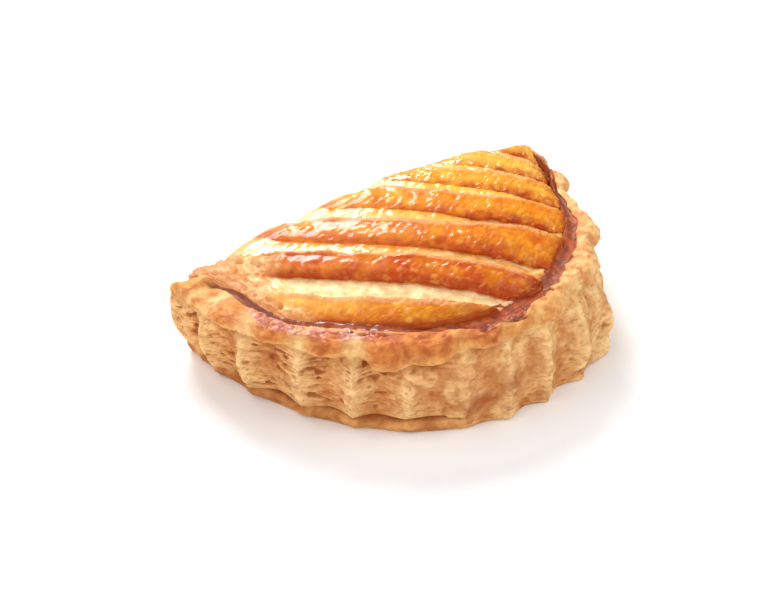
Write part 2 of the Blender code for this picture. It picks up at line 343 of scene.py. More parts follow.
# The painted colour times a grain, with a roughness and a coat that follow the painted gloss
def crustMaterial(name, grain, settings):
    g = grainSettings
    material = bpy.data.materials.new(name)
    material.use_nodes = True
    tree = material.node_tree
    shader = tree.nodes["Principled BSDF"]
    colour = addNode(tree, "ShaderNodeAttribute", attribute_name="crustColour").outputs["Color"]
    gloss = addNode(tree, "ShaderNodeAttribute", attribute_name="crustGloss").outputs["Fac"]
    sizes = {"Size": settings["grainSize"], "Stretch": settings["grainStretch"]}
    fine = addNode(tree, "ShaderNodeGroup", sizes, node_tree=grain)
    strength = mapped(tree, fine.outputs["Shade"], 0.0, 1.0, g["shadeFrom"], g["shadeTo"])
    tones = {"A": (*settings["darkGrain"], 1), "B": (*settings["lightGrain"], 1)}
    shades = addNode(tree, "ShaderNodeMix", tones, {"Factor": strength}, data_type="RGBA").outputs["Result"]
    joined = {"A": colour, "B": shades}
    grained = addNode(tree, "ShaderNodeMix", {"Factor": 1.0}, joined, data_type="RGBA", blend_type="MULTIPLY")
    grainHeight = multiplied(tree, fine.outputs["Relief"], mapped(tree, gloss, 1.0, settings["glazedRelief"]))
    depths = {"Strength": settings["relief"], "Distance": settings["reliefDepth"]}
    relief = addNode(tree, "ShaderNodeBump", depths, {"Height": grainHeight})
    tree.links.new(grained.outputs["Result"], shader.inputs["Base Color"])
    roughness = mapped(tree, gloss, settings["dryRoughness"], settings["wetRoughness"])
    tree.links.new(roughness, shader.inputs["Roughness"])
    tree.links.new(multiplied(tree, gloss, settings["coat"]), shader.inputs["Coat Weight"])
    tree.links.new(relief.outputs["Normal"], shader.inputs["Normal"])
    shader.inputs["Coat Roughness"].default_value = settings["coatRoughness"]
    shader.inputs["Specular IOR Level"].default_value = settings["shine"]
    shader.inputs["Subsurface Weight"].default_value = settings["glow"]
    shader.inputs["Subsurface Radius"].default_value = g["glowColour"]
    shader.inputs["Subsurface Scale"].default_value = settings["glowDepth"]
    return material


# The side: a fluted wall of thin layers, with a browned lip and a sunk seam

sideSettings = {
    "columns": 740,
    "backColumns": 44,
    "ridges": [0, 6, 12, 24, 38, 50, 62, 75, 86, 97, 109, 121, 134, 147, 159, 170, 180],
    "ridgeSharpness": 1.6,
    "fluteDepth": 4.0 * mm,
    # strength of the flutes along the front in degrees
    "fluteStrengths": (
        [0, 14, 54, 62, 84, 92, 130, 140, 180],
        [0.8, 1.1, 1.05, 0.36, 0.36, 1.0, 1.0, 0.8, 0.8],
    ),
    "tipFade": 14,
    "leftLean": 12 * mm,
    "leftLeanSpan": 95,
    "lobe": (4.2 * mm, 119, 11),
    "slimming": (2.6 * mm, 119, 14),
    "backInset": 16 * mm,
    "backDrop": 4 * mm,
    "seamInset": 8.8,
    "layerPitch": 1.25 * mm,
    "layerDepth": 0.55 * mm,
    "flakeDepth": 0.6 * mm,
    "holeDepth": 1.0 * mm,
    "plateDepth": 0.9 * mm,
    # rows between one point of the section and the next
    "density": [2, 5, 5, 6, 7, 7, 7, 7, 12, 14, 14, 13, 12, 9, 12, 12, 12, 14, 14, 10, 8, 6, 4],
    # point of the section where the wall ends and the lip begins, and one halfway up the wall
    "meetingPoint": 14,
    "middlePoint": 9,
    # lumps of the lip: middle and half width in degrees, mm outwards, share downwards
    "lumps": [
        (18, 4.5, 1.0, 0.0),
        (31, 4.6, 1.2, 0.01),
        (43.5, 4.6, 1.8, 0.04),
        (57.5, 5.2, 3.4, 0.09),
        (67.5, 5.0, 3.0, 0.07),
        (81, 3.6, 2.0, 0.02),
        (104, 4.0, 0.8, 0.03),
        (123, 4.6, 2.8, 0.05),
        (139.5, 5.6, 1.8, 0.03),
        (163, 3.0, 0.9, 0.03),
        (176, 4.0, 1.0, 0.03),
    ],
    # how far the lip hangs over the wall, along the front in degrees
    "overhangs": ([0, 60, 84, 90, 150, 160, 180], [1, 1, 0.9, 0.1, 0.1, 0.6, 0.9]),
    # changes to points of the section: where nothing hangs over, mm out from the edge
    "straight": [(13, 2.7), (14, 2.2), (15, 1.7), (16, 1.1)],
    # on a lump: shares of its reach and of its drop
    "hanging": [
        (13, -0.20, -0.8),
        (14, -0.15, -1.0),
        (15, 0.95, -1.2),
        (16, 1.0, -0.7),
        (17, 0.6, -0.2),
        (18, 0.25, 0),
    ],
    # between lumps: mm inwards under the overhang, and at the right
    "hollows": [(15, 0.8), (16, 0.9), (17, 0.7), (18, 0.4)],
    "notches": [(13, 0.5), (14, 0.9), (15, 1.3), (16, 1.5), (17, 1.4), (18, 1.0), (19, 0.5)],
    # where there is no foot: more share of the flutes, and mm inwards
    "footless": [
        (1, 0.5, 0.3),
        (2, 0.65, 0.3),
        (3, 0.6, 0.3),
        (4, 0.45, 0.3),
        (5, 0.3, 0.3),
        (6, 0.2, -0.2),
        (7, 0.15, -0.2),
    ],
    # at the crease: mm inwards
    "creased": [(5, 0.3), (6, 1.5), (7, 0.5)],
    # the lip's inner side: shares of the height added at the left tip, beside it, and along the seam
    "tipRises": [(18, 0.015), (19, 0.04), (20, 0.09), (21, 0.14), (22, 0.16)],
    "closingRises": [(19, 0.01), (20, 0.03), (21, 0.05), (22, 0.06)],
    "seamRises": [(20, 0.025), (21, 0.045), (22, 0.055)],
    # how far the lip's edge is drawn in sideways at the right, in mm
    "pulls": (
        [130, 138, 144, 149, 157, 162, 165, 169, 174, 180],
        [0, 0, -0.3, 1.6, 4.3, 1.4, 1.2, 2.6, 0.4, 0.6],
    ),
    "pullRows": [0] * 10 + [0.15, 0.3, 0.5, 0.7, 0.9, 1, 1, 1, 0.95, 0.78, 0.5, 0.12, 0, 0],
    # width of the red seam along the front, in mm
    "seams": (
        [0, 8, 17, 26, 34, 44, 60, 74, 80, 88, 98, 108, 120, 135, 150, 160, 180],
        [1.2, 1.7, 2.5, 1.8, 0.9, 1.0, 2.2, 3.4, 6.6, 7.4, 6.0, 4.6, 4.2, 4.0, 3.0, 2.2, 1.6],
    ),
    # where the lilac glaze of the lip begins and ends, in mm from the dome; its lilac is partly the glaze's
    # colour and partly a painted sheen
    "lilacs": (
        [14, 22, 28, 36, 48, 54, 58, 62],
        [6, 3, 2.0, 2.2, 2.6, 3.0, 3.4, 4],
        [6, 6.5, 9.5, 11.5, 11.5, 10, 7, 4],
    ),
    # the crease over the foot: middle and half width in degrees
    "creases": [(31.5, 4.5), (46.5, 5.5), (64, 10)],
    # flaky places at the right: degrees, height, half width in degrees and in mm, strength
    "flakyPlaces": [(98, 12, 6, 7, 0.4), (116, 12, 7, 6, 0.5)],
    # painted shade in hollows, in brown: degrees, height, half width in degrees and in mm, strength
    "shadeSpots": [
        (78, 9.5, 4.5, 3.2, 1.0),
        (87, 14.5, 3.2, 3.5, 1.0),
        (99, 16.5, 3.5, 3, 0.8),
        (112, 18, 4, 4, 0.6),
        (20.5, 22, 2.2, 3, 0.7),
        (31, 21, 2.6, 3, 0.8),
        (33.5, 14.5, 3, 3, 0.9),
        (42, 23, 2.4, 3, 0.6),
        (48, 27, 1.6, 2, 0.9),
        (44, 9, 3, 2, 0.5),
    ],
    "tones": {
        "cream": tone(240, 192, 128),
        "tan": tone(200, 124, 60),
        "middleTan": tone(186, 108, 46),
        "rightCream": tone(255, 226, 166),
        "ridge": tone(252, 218, 160),
        "raised": tone(250, 210, 148),
        "sunk": tone(192, 114, 56),
        "crack": tone(196, 120, 60),
        "fibre": tone(206, 136, 74),
        "hole": tone(164, 84, 38),
        "rust": tone(170, 88, 40),
        "pore": tone(160, 92, 44),
        "underLip": tone(190, 112, 52),
        "foot": tone(218, 158, 94),
        "footShade": tone(170, 96, 44),
        "crease": tone(146, 64, 30),
        "lip": tone(236, 182, 110),
        "lipShade": tone(210, 138, 70),
        "rightLip": tone(255, 222, 160),
        "lipTop": tone(214, 130, 56),
        "lipTopShade": tone(176, 86, 30),
        "flapEdge": tone(248, 204, 136),
        "lipRidge": tone(250, 210, 150),
        "lumpOutline": tone(196, 112, 50),
        "lipEdge": tone(240, 172, 100),
        "lilac": tone(214, 140, 128),
        "lilacShade": tone(176, 84, 70),
        "rightGlaze": tone(226, 148, 96),
        "red": tone(114, 30, 4),
        "redLight": tone(172, 70, 14),
        "gash": tone(122, 48, 28),
        "gashLight": tone(178, 98, 78),
    },
}
# Section: (outwards from the lip's edge in mm, height as a share of the lip, share of the flutes)
sideSection = [
    (-20.0, 0.0, 0.0),
    (2.0, 0.0, 0.1),
    (4.2, 0.012, 0.25),
    (4.9, 0.04, 0.4),
    (5.2, 0.085, 0.55),
    (4.9, 0.125, 0.7),
    (4.5, 0.150, 0.8),
    (4.7, 0.185, 0.85),
    (5.0, 0.25, 0.9),
    (5.4, 0.35, 1.0),
    (5.2, 0.46, 1.0),
    (4.6, 0.57, 1.0),
    (3.4, 0.68, 0.95),
    (2.2, 0.785, 0.8),
    (0.9, 0.855, 0.5),
    (0.8, 0.895, 0.1),
    (0.8, 0.935, -0.3),
    (0.0, 0.980, -0.4),
    (-1.8, 1.005, -0.4),
    (-3.8, 1.00, -0.2),
    (-5.4, 0.970, -0.1),
    (-7.4, 0.945, 0.0),
    (-13.0, 0.935, 0.0),
    (-16.0, 0.60, 0.0),
]


# 1 on the narrow ridge between two flutes and 0 in the hollow: a power of the distance from its middle
def fluteWave(turn):
    ridges = np.array(sideSettings["ridges"], float)
    strip = np.clip(np.searchsorted(ridges, turn, side="right") - 1, 0, len(ridges) - 2)
    share = (turn - ridges[strip]) / (ridges[strip + 1] - ridges[strip])
    return np.abs(2 * np.clip(share, 0, 1) - 1) ** sideSettings["ridgeSharpness"]


# What changes round the side only: each value is a row of numbers, one for each column of the grid
def sideColumns():
    s = sideSettings
    front = np.linspace(0, math.pi, s["columns"], endpoint=False)
    back = np.linspace(math.pi, 2 * math.pi, s["backColumns"], endpoint=False)
    angle = np.concatenate([front, back])[None, :]
    turn = np.degrees(angle)
    isFront = angle < math.pi
    fromLeft = np.minimum(turn, 360 - turn)
    # Lumps of the lip: e to the minus 3.5th power of the distance from the middle, with a ragged edge
    edgeTurn = turn + 0.6 * noise(trio(turn / 1.6, 0), 3) + 0.25 * noise(trio(turn / 0.6, 0), 5)
    lumps = [np.exp(-np.abs((edgeTurn - at) / width) ** 3.5) for at, width, _, _ in s["lumps"]]
    crease = sum(bell(turn, at, width) for at, width in s["creases"])
    crease = crease * (0.9 + 0.3 * noise(trio(turn / 4, 0), 8))
    strength = np.interp(turn, *s["fluteStrengths"]) * (1 + 0.3 * noise(trio(turn / 13, 0), 4))
    return SimpleNamespace(
        angle=angle,
        turn=turn,
        isFront=isFront,
        fromLeft=fromLeft,
        wave=fluteWave(np.where(isFront, turn, 0)),
        fade=smoothStep(np.minimum(turn, 180 - turn) / s["tipFade"]) * isFront,
        strength=strength,
        hang=sum(form * lump[2] for form, lump in zip(lumps, s["lumps"])) * isFront,
        drop=sum(form * lump[3] for form, lump in zip(lumps, s["lumps"])) * isFront,
        cap=np.clip(sum(lumps), 0, 1) * isFront,
        crease=np.clip(crease, 0, 1),
        # At the right the flutes run down to the base; further left a foot stands out below them
        noFoot=rising(turn, 68, 12) * isFront,
        # At the left tip the lip runs into the dome: no seam there
        merge=falling(fromLeft, 1.5, 5),
        atLeft=falling(turn, 22, 12),
        atRight=rising(turn, 58, 10),
    )


# The section at every column: points out from the edge, shares of the height and shares of the flutes
def sideRows(c):
    s = sideSettings
    section = np.array(sideSection)
    out, share, fluted = (np.repeat(section[:, [i]], c.turn.shape[1], axis=1) for i in range(3))
    out = out * mm
    turn, isFront, cap, merge = c.turn[0], c.isFront[0], c.cap[0], c.merge[0]
    overhang = np.maximum(np.interp(turn, *s["overhangs"]), cap * (turn > 110))
    for row, straight in s["straight"]:
        out[row] = blend(straight * mm, out[row], overhang)
    for row, sideways, lift in s["hanging"]:
        out[row] += c.hang[0] * sideways * mm
        share[row] += c.drop[0] * lift
    for row, deep in s["hollows"]:
        out[row] -= (1 - cap) * deep * mm * isFront * overhang
    knuckled = rising(turn, 108, 6) * isFront
    for row, deep in s["notches"]:
        out[row] -= (1 - cap) * deep * mm * knuckled
    for row, more, deep in s["footless"]:
        fluted[row] += c.noFoot[0] * more
        out[row] -= c.noFoot[0] * deep * mm
    for row, deep in s["creased"]:
        out[row] -= c.crease[0] * deep * mm
    closing = bell(turn, 12, 7) * isFront + 1.2 * rising(turn, 156, 12) * isFront
    alongSeam = c.atLeft[0] * (1 - merge) + 0.5 * rising(turn, 100, 20) * isFront
    for strength, rises in ((merge, "tipRises"), (closing, "closingRises"), (alongSeam, "seamRises")):
        for row, rise in s[rises]:
            share[row] += strength * rise
    return out, share, fluted, overhang


# Rings up the section, carried round the front oval and along a shallow curve inside the fold
def sideShape(c):
    s = sideSettings
    knots = len(sideSection)
    steps = np.concatenate([i + np.arange(n) / n for i, n in enumerate(s["density"])] + [[knots - 1]])
    weights = spline(knots, steps)
    out, share, fluted, overhang = sideRows(c)
    out, share, fluted = weights @ out, weights @ share, weights @ fluted
    share = np.maximum(share, 0)
    lean = s["leftLean"] * (1 - smoothStep(c.fromLeft / s["leftLeanSpan"]))
    lobe, lobeTurn, lobeSpan = s["lobe"]
    slim, slimTurn, slimSpan = s["slimming"]
    bulge = lobe * bell(c.turn, lobeTurn, lobeSpan) - slim * smoothStep((c.turn - slimTurn) / slimSpan)
    flutes = c.fade * s["fluteDepth"] * c.strength * fluted * (c.wave - 0.5)
    swell = -lean * np.maximum(0, 0.9 - share)
    swell = swell + c.isFront * (flutes + bulge * np.maximum(0, fluted))
    swell = swell - (~c.isFront) * slim * smoothStep(c.fromLeft / 180) * np.maximum(0, fluted)
    shift = 0.6 * np.minimum(0, out)
    sideways = swell + np.where(out < 0, out * shape["tipShare"], out)
    pull = np.interp(c.turn, *s["pulls"]) * mm * c.isFront
    sideways = sideways - pull * (weights @ np.array(s["pullRows"]))[:, None]
    fullWidth = widening(np.minimum(c.angle, math.pi))
    wide = fullWidth * smoothStep((-out / mm - 3.0) / 4.0)
    frontX, frontY = ovalPoint(c.angle, sideways - wide, swell + out + shift - wide)
    across = -np.cos(c.angle)
    backX = (halfLength(across) + sideways) * across
    fromTip = halfLength(backX) + swell - np.abs(backX)
    inset = s["backInset"] * smoothStep(fromTip / (12 * mm))
    backY = np.maximum(0, foldLine(backX)) * smoothStep(fromTip / (5 * mm)) - inset
    backY = backY * smoothStep((halfLength(backX) + sideways - np.abs(backX)) / (1.5 * mm))
    backY = backY + np.maximum(0, out) * np.sqrt(np.abs(np.sin(c.angle)))
    x = np.where(c.isFront, frontX, backX)
    y = np.where(c.isFront, frontY, backY) + shift
    z = share * lipHeight(c.angle) - np.where(c.isFront, 0, share * s["backDrop"] * inset / s["backInset"])
    points = np.stack([x, y, z], -1)

    # Distance along the wall, for layers that run level
    path = points[list(steps).index(s["middlePoint"])]
    reach = np.concatenate([[0], np.cumsum(np.linalg.norm(np.diff(path, axis=0), axis=1))])[None, :]
    reach = np.repeat(reach, len(steps), axis=0)
    row = steps[:, None]
    fromDome = s["seamInset"] + (fullWidth - wide) / mm + np.minimum(0, out) / mm
    return SimpleNamespace(
        points=points,
        place=points / mm,
        row=row,
        overhang=overhang,
        reach=reach,
        meet=list(steps).index(s["meetingPoint"]),
        onWall=smoothStep((row - 7.2 + 5 * c.noFoot) / 0.8) * falling(row, 13.6, 0.7) * c.isFront,
        onFoot=rising(row, 2.0, 0.6) * falling(row, 6.2, 0.8) * c.isFront * (1 - c.noFoot),
        onLip=rising(row, 14.2, 0.5) * falling(row, 19, 0.8) * c.isFront,
        inBand=(1 - c.merge) * c.isFront * rising(row, 17, 0.5),
        fromDome=fromDome,
        streak=fractal(trio(reach / (6 * mm), fromDome * 0.9), 3, 107),
        crumb=fractal(points / mm / 1.5, 3, 81),
        wobble=trio(noise(points / mm / 1.5, 33), noise(points / mm / 1.5, 34)),
    )


# Relief of the wall, the foot and the lip: layers that stand out by their own noise, gaps between them,
# holes, flakes and plates from cells, all as lengths outwards
def sideRelief(c, g):
    s = sideSettings
    turn, place, reach = c.turn, g.place, g.reach
    height = g.points[..., 2]
    flaky = 1 - 0.75 * rising(turn, 48, 14)
    for at, up, width, tall, much in s["flakyPlaces"]:
        flaky = flaky + much * bell(turn, at, width) * bell(height / mm, up, tall)
    flaky = np.clip(flaky + 0.35 * fractal(place / 9, 2, 21), 0, 1) * (1 - 0.9 * c.wave**3)
    level = height + 0.9 * mm * noise(place / 11, 31) + 0.5 * mm * noise(place / 3.5, 32)
    counted = level / s["layerPitch"]
    layer = np.floor(counted)
    inLayer = counted - layer
    nextShare = rising(inLayer, 0.8, 0.2)
    stands, gap = 0, 0
    for step, part in ((0, 1 - nextShare), (1, nextShare)):
        along = trio(reach / (3.2 * mm), (layer + step) * 17.3)
        stands = stands + fractal(along, 3, 41) * part
        gap = gap + bell(inLayer, step, 0.17) * smoothStep(0.3 + 1.7 * noise(along * (0.9, 1, 1), 45))
    gap = gap * flaky
    hole = smoothStep((noise(trio(reach / (2.6 * mm), level / (1.3 * mm)), 51) - 0.45) / 0.25)
    hole = hole * smoothStep((fractal(place / 8, 2, 52) + 0.25) / 0.3) * flaky

    small = trio(reach / (3.3 * mm), level / (1.5 * mm), 0.5)
    nearest, second, number, away = cells(small + 0.25 * g.wobble, 35)
    flake = (number - 0.45 - 0.5 * away[..., 1]) * smoothStep((second - nearest) / 0.25)
    flat = trio(reach / (9 * mm), level / (7.5 * mm), 0.5)
    warp = 0.28 * trio(noise(place / 6, 61), noise(place / 6, 62)) + 0.09 * g.wobble
    nearest, second, number, away = cells(flat * 2.4 + warp * 1.7, 71)
    smallPlate = ((number - 0.5) * 0.9 - 0.5 * away[..., 1]) * smoothStep((second - nearest) / 0.12)
    nearest, second, number, away = cells(flat + warp, 63)
    opened = smoothStep(0.5 + 1.2 * noise(place / 5, 66))
    border = smoothStep((second - nearest) / blend(0.42, 0.18, opened))
    plate = (number - 0.5) * 1.2 - 0.75 * away[..., 1] + 0.4 * away[..., 0] * (number - 0.5)
    plate = plate * border - 0.22 * (1 - border) * opened
    crack = (1 - border) * (1 - flaky) * opened * (away[..., 1] < 0.15)

    fibre = fractal(trio(reach / (4 * mm), level / (0.42 * mm)), 2, 79)
    folds = noise(trio(reach / (2.4 * mm), level / (12 * mm)), 78) * rising(turn, 70, 14)
    push = g.onWall * (
        flaky * (s["layerDepth"] * stands + s["flakeDepth"] * flake)
        - 0.4 * mm * gap
        - hole * s["holeDepth"]
        + (1 - flaky) * (s["plateDepth"] * plate * (1 + 0.4 * bell(turn, 72, 16)) + 0.3 * mm * smallPlate)
        + 0.45 * mm * folds
        + 0.30 * mm * fractal(place / 3.5, 2, 80)
        + 0.10 * mm * fibre * flaky
        + 0.20 * mm * g.crumb
    )
    footRough = 0.3 * fractal(place / 3.2, 3, 82) + 0.2 * noise(place * (0.12, 0.12, 1.2), 83) + 0.2 * g.crumb
    push = push + g.onFoot * mm * footRough
    lipRough = fractal(place / 4.2, 3, 84) + 0.5 * (0.6 - cells(place / 2.4, 91)[0])
    push = push + g.onLip * (0.8 * mm * lipRough + 0.25 * mm * g.crumb)
    return SimpleNamespace(push=push, flaky=flaky, gap=gap, crack=crack, hole=hole, fibre=fibre)


# The seam as a red share and a lilac share, with its relief: a gash at the left, a slit across the middle
# of the front and a broad sunk band at the right, each a smooth step of the distance from the dome
def sideSeam(c, g):
    s = sideSettings
    turn, place, fromDome, streak, inBand = c.turn, g.place, g.fromDome, g.streak, g.inBand
    uneven = 0.3 * c.atRight * noise(trio(turn / 2.2, 0), 87)
    width = np.interp(turn, *s["seams"]) * (1 + 0.3 * streak + uneven)
    slitHalf = 0.3 + 1.3 * bell(turn, 51, 8)
    slit = smoothStep(1.5 - np.abs(fromDome - 6.2 + 0.6 * streak) / slitHalf)
    slit = slit * smoothStep(2 * bell(turn, 51, 9) - 0.3)
    red = 1 - smoothStep((fromDome - width) / (0.5 + 0.12 * width)) + 0.95 * slit
    turns, starts, ends = s["lilacs"]
    lilacFrom, lilacTo = np.interp(turn, turns, starts), np.interp(turn, turns, ends)
    zone = smoothStep((fromDome - lilacFrom) / 0.9) * (1 - smoothStep((fromDome - lilacTo + streak) / 1.4))
    zone = zone * rising(turn, 18, 8) * falling(turn, 54, 7)
    broken = smoothStep(0.65 + 1.5 * fractal(place / 2.8, 2, 109))
    lilac = (
        zone * broken
        + c.atLeft * bell(fromDome, width + 0.7, 1.0) * rising(turn, 18, 8) * 0.7
        + c.atRight * bell(fromDome + streak, width + 0.9, 1.0) * 0.3
    )
    red, lilac = np.clip(red, 0, 1) * inBand, np.clip(lilac, 0, 1) * inBand
    push = -0.5 * mm * red * (c.atLeft + c.atRight) - 0.9 * mm * slit * inBand
    push = push + 0.6 * mm * lilac * (0.4 + broken)
    crumbled = (0.15 * c.atRight + 0.3 * c.atLeft) * g.crumb + 0.35 * c.atRight * fractal(place / 5, 2, 88)
    pillow = cells(place / (4.6, 4.6, 9) + 0.2 * g.wobble, 89)
    push = push + inBand * mm * crumbled
    push = push + zone * inBand * (0.9 * mm * smoothStep((pillow[1] - pillow[0]) / 0.35) - 0.5 * mm)
    fine = 1 - 0.7 * np.clip(zone + 0.6 * c.atRight, 0, 1)
    push = push + inBand * fine * 0.30 * mm * fractal(place / 2.2, 2, 85)
    push = push + inBand * 0.25 * mm * noise(place / (3.2, 3.2, 9), 86)
    return SimpleNamespace(push=push, red=red, lilac=lilac, lilacFrom=lilacFrom)


# Colours of the wall and the foot: cream as a painted highlight on what stands out and on the flute ridges,
# tan in random patches and as painted shade in the flute hollows, brown as painted shade in gaps, cracks,
# holes and hollow spots, under the lip and in the crease
def paintWall(c, g, r, push, ridge):
    s = sideSettings
    t = s["tones"]
    turn, place, onWall = c.turn, g.place, g.onWall
    fluteShade = (1 - c.wave) * c.fade
    raised = np.clip(push / mm, -1, 1)
    patch = smoothStep(0.5 + 1.0 * fractal(place / 5, 3, 101))
    rust = 0
    for at, up, width, tall, much in s["shadeSpots"]:
        rust = rust + bell(turn, at, width) * bell(g.points[..., 2] / mm, up, tall) * much
    rust = rust * smoothStep(0.75 + 1.0 * fractal(place / 2.4, 2, 103))
    pores = smoothStep((noise(place / (1.1, 1.1, 0.8), 105) - 0.5) / 0.12)
    pores = pores * smoothStep(0.6 + fractal(place / 6, 2, 106))
    underLip = bell(g.row, 14.2, 0.6) * c.isFront * (0.3 + 0.7 * c.cap) * g.overhang
    creaseShade = bell(g.row, 6.2, 0.55) * c.isFront * smoothStep(1.6 * c.crease)
    # Painted shade: tan laid on more in the flute hollows, as well as in random patches
    colours = tint(t["cream"], t["tan"], np.clip(0.55 * patch + 0.6 * fluteShade - 0.25, 0, 1))
    colours = painted(
        colours,
        (t["middleTan"], 0.42 * bell(turn, 80, 15) * onWall * (0.5 + 0.5 * patch)),
        (t["rightCream"], 0.85 * rising(turn, 104, 20) * onWall * (1 - 0.5 * patch)),
        # Painted highlight: cream along the flute ridges
        (t["ridge"], 0.75 * ridge**1.5 * onWall),
        # Painted highlight on what the relief pushes out, and painted shade on what it sinks
        (t["raised"], 0.5 * np.clip(1.3 * raised, 0, 1) * onWall),
        (t["sunk"], 0.6 * np.clip(-1.3 * raised, 0, 1) * onWall),
        # Painted shade in the gaps between layers and in the cracks between plates
        (t["crack"], np.clip(0.55 * (r.gap + r.crack) * onWall, 0, 1)),
        (t["fibre"], 0.5 * smoothStep(0.2 + r.fibre) * r.flaky * onWall * (1 - ridge)),
        # Painted shade inside the holes
        (t["hole"], 0.8 * r.hole * onWall),
        # Painted shade: brown spots in the hollows
        (t["rust"], np.clip(0.85 * rust * onWall, 0, 1)),
        (t["pore"], 0.55 * pores * (onWall + 0.6 * g.onFoot)),
        # Painted shade under the lip, where it hangs over the wall
        (t["underLip"], 0.6 * underLip),
        (tint(t["foot"], t["footShade"], patch), 0.8 * g.onFoot),
    )
    # Painted shade in the crease over the foot
    return tint(colours, t["crease"], 0.9 * creaseShade)


# Colours of the lip and the seam: pale where ridges and cut edges show, orange-brown on top, then the lilac
# and the red of the seam, the lilac partly the glaze's colour and partly a painted sheen; the gloss follows
# the last two
def paintLip(c, g, seam, colours, ridge):
    t = sideSettings["tones"]
    turn, row, cap, atLeft, atRight = c.turn, g.row, c.cap, c.atLeft, c.atRight
    lipRows = rising(row, 14.3, 0.4) * falling(row, 20, 1.5) * c.isFront
    topness = smoothStep((row - 15.6 - 0.5 * noise(g.place / 2.5, 108)) / 1.3)
    patch = smoothStep(0.5 + 1.0 * fractal(g.place / 2.6, 3, 104))
    lip = tint(t["lip"], t["lipShade"], patch)
    lip = tint(lip, t["rightLip"], 0.7 * rising(turn, 100, 12) * (1 - 0.6 * patch))
    brownness = np.clip(topness * (0.55 + 0.45 * cap) + 0.35 * cap - 0.7 * ridge**1.5 * (1 - cap), 0, 1)
    brownness = brownness * (1 - 0.8 * rising(turn, 84, 6)) * (1 - 0.35 * atLeft)
    flapEdge = bell(row, 14.9, 0.35) * cap * c.isFront
    flapEdge = flapEdge * rising(turn, 50, 6) * falling(turn, 86, 6)
    ridgeUp = lipRows * c.wave * c.fade * (1 - 0.7 * cap)
    ridgeUp = ridgeUp * falling(turn, 52, 6) * (1 - 0.3 * topness)
    outline = bell(cap, 0.5, 0.3) * rising(turn, 108, 4) * lipRows
    onEdge = (1 - smoothStep((g.fromDome - seam.lilacFrom) / 0.8)) * (1 - atLeft) * (1 - atRight) * g.inBand
    colours = painted(
        colours,
        (lip, 0.9 * lipRows),
        (tint(t["lipTop"], t["lipTopShade"], patch), 0.9 * brownness * lipRows),
        (t["flapEdge"], 0.7 * flapEdge),
        (t["lipRidge"], np.clip(1.1 * ridgeUp, 0, 0.9)),
        (t["lumpOutline"], 0.6 * outline),
        (t["lipEdge"], 0.8 * onEdge),
    )
    # The lilac: partly the glaze's colour and partly a painted sheen, warmer at the right
    lilac = tint(t["lilac"], t["rightGlaze"], atRight)
    lilac = tint(lilac, t["lilacShade"], 0.7 * smoothStep(0.2 + 1.4 * g.streak) * (1 - atRight))
    colours = tint(colours, lilac, np.clip(0.85 * seam.lilac, 0, 1))
    red = tint(t["red"], t["redLight"], smoothStep(0.4 + 1.1 * g.streak + 0.8 * g.crumb * atRight))
    red = tint(red, tint(t["gash"], t["gashLight"], smoothStep(0.2 + 1.3 * g.streak)), atLeft)
    colours = tint(colours, red, 0.92 * seam.red)
    wet = seam.red * (1 - 0.85 * atRight - 0.7 * atLeft) + 0.75 * seam.lilac * (1 - 0.85 * atRight) + 0.06
    gloss = np.clip(g.inBand * np.clip(wet, 0, 1) + 0.12 * g.onLip * topness, 0, 1)
    return colours, gloss


# The side as two solids that meet under the lip, where the end of each is sunk in the other
def buildSide(material):
    c = sideColumns()
    g = sideShape(c)
    relief = sideRelief(c, g)
    seam = sideSeam(c, g)
    push = relief.push + seam.push
    ridge = c.wave * c.fade * (1 - 0.6 * bell(c.turn, 72, 13))
    colours, gloss = paintLip(c, g, seam, paintWall(c, g, relief, push, ridge), ridge)
    points = pushed(g.points, push, (0, -30 * mm, 0))
    points[..., 2] = np.maximum(points[..., 2], 0)
    meet = g.meet
    middle = np.array([0, -35 * mm, 0])
    ring = points[meet]
    top = middle + (ring - middle) * (0.9, 0.9, 0.93)
    root = middle + (ring - middle) * (0.9, 0.9, 0.80)
    wallRows, lipRows = slice(0, meet + 1), slice(meet, None)
    paint, shine = colours[[meet]], gloss[[meet]]
    wall = (points[wallRows], top[None]), (colours[wallRows], paint), (gloss[wallRows], shine)
    lip = (root[None], points[lipRows]), (paint, colours[lipRows]), (shine, gloss[lipRows])
    closedMesh("wallCrust", *(np.concatenate(pair) for pair in wall), material)
    closedMesh("lipCrust", *(np.concatenate(pair) for pair in lip), material)


# The top: six glazed strips that step over one another, and the folded back

